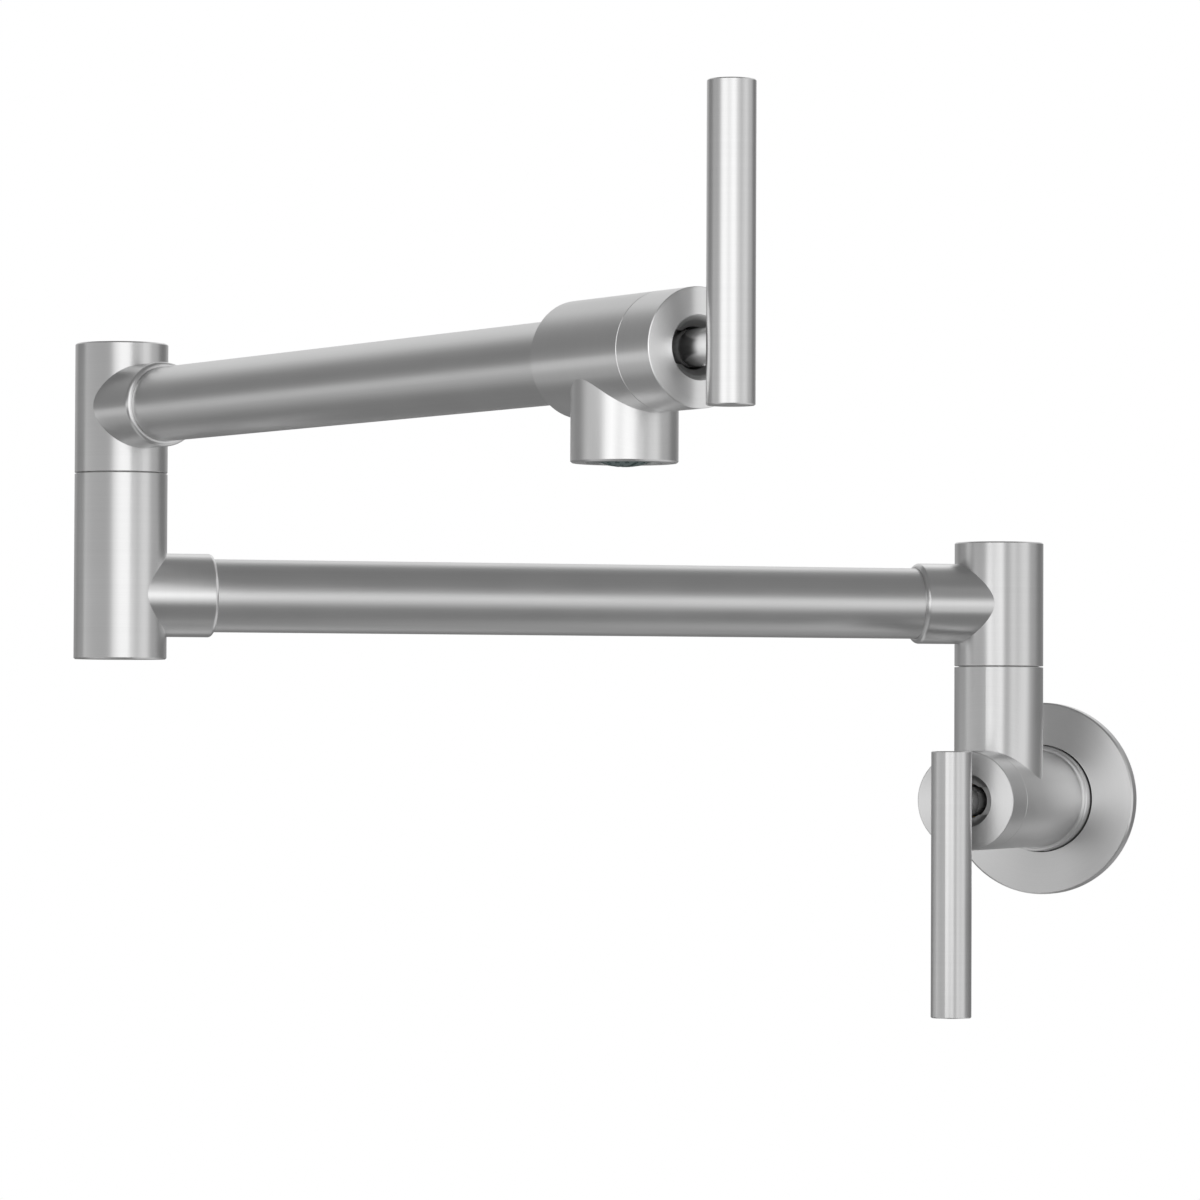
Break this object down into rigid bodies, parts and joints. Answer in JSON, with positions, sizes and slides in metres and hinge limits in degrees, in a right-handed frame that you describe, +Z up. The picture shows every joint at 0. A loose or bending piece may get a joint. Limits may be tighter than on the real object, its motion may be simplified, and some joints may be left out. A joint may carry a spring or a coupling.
{
  "type": "wall mounted pot filler",
  "caption": "Wall mounted pot filler tap with a double-jointed folding arm, a quarter-turn lever valve at the wall and another behind the spout.",
  "frame": {"origin": "centre of the supply inlet's mouth, in the plane of the wall", "axes": "+Y into the wall along the inlet, +Z up, +X to the right for someone who faces the wall"},
  "size_m": [0.2868, 0.4215, 0.251],
  "materials": {
    "satin_body": "satin stainless steel, fine brushing round the posts and bodies",
    "turned_face": "stainless steel with fine circular turning lines",
    "satin_tube": "satin stainless steel tube, brushed along its length",
    "satin_bar": "satin stainless steel bar",
    "screw_steel": "plain stainless steel fastener",
    "brass": "turned brass",
    "ceramic_disc": "lapped alumina ceramic, off-white",
    "black_rubber": "black nitrile rubber",
    "white_slip": "white low-friction plastic",
    "aerator_plastic": "dark grey-green moulded plastic"
  },
  "bodies": {
    "wall_valve": {"wall_body": "satin_body", "wall_plate": "turned_face", "wall_plate_gasket": "black_rubber", "wall_plate_ring": "black_rubber", "wall_cap": "turned_face", "wall_sleeve": "brass", "wall_fixed_disc": "ceramic_disc", "wall_seat_seal": "black_rubber", "wall_sleeve_ring": "black_rubber", "wall_spigot": "brass", "wall_spigot_rings": "black_rubber", "wall_slip_ring": "white_slip"},
    "wall_lever": {"wall_lever_bar": "satin_bar", "wall_lever_neck": "satin_bar", "wall_lever_screw": "screw_steel", "wall_spindle": "brass", "wall_moving_disc": "ceramic_disc", "wall_spindle_ring": "black_rubber", "wall_circlip": "screw_steel"},
    "lower_arm": {"wall_swivel": "satin_body", "wall_swivel_screw": "screw_steel", "lower_tube": "satin_tube", "elbow_base": "satin_body", "elbow_spigot": "brass", "elbow_spigot_rings": "black_rubber", "elbow_slip_ring": "white_slip"},
    "upper_arm": {"elbow_swivel": "satin_body", "elbow_swivel_screw": "screw_steel", "upper_tube": "satin_tube", "head_body": "satin_body", "head_cap": "turned_face", "head_sleeve": "brass", "head_fixed_disc": "ceramic_disc", "head_seat_seal": "black_rubber", "head_sleeve_ring": "black_rubber", "aerator_housing": "aerator_plastic", "aerator_insert": "aerator_plastic", "aerator_screen": "screw_steel", "aerator_washer": "black_rubber"},
    "head_lever": {"head_lever_bar": "satin_bar", "head_lever_neck": "satin_bar", "head_lever_screw": "screw_steel", "head_spindle": "brass", "head_moving_disc": "ceramic_disc", "head_spindle_ring": "black_rubber", "head_circlip": "screw_steel"}
  },
  "joints": [
    {"name": "wall_swivel", "type": "hinge", "parent": "wall_valve", "child": "lower_arm", "pos_m": [0, -0.0505, 0.0422], "axis": [0, 0, 1], "range_deg": [-36.9, 143.1]},
    {"name": "elbow_swivel", "type": "hinge", "parent": "lower_arm", "child": "upper_arm", "pos_m": [-0.22511, -0.21952, 0.0985], "axis": [0, 0, 1], "continuous": true},
    {"name": "wall_lever_turn", "type": "hinge", "parent": "wall_valve", "child": "wall_lever", "pos_m": [0, -0.0855, 0], "axis": [0, -1, 0], "range_deg": [0, 90]},
    {"name": "head_lever_turn", "type": "hinge", "parent": "upper_arm", "child": "head_lever", "pos_m": [0.02996, -0.40689, 0.118], "axis": [0.8059, -0.592, 0], "range_deg": [0, 90]}
  ]
}
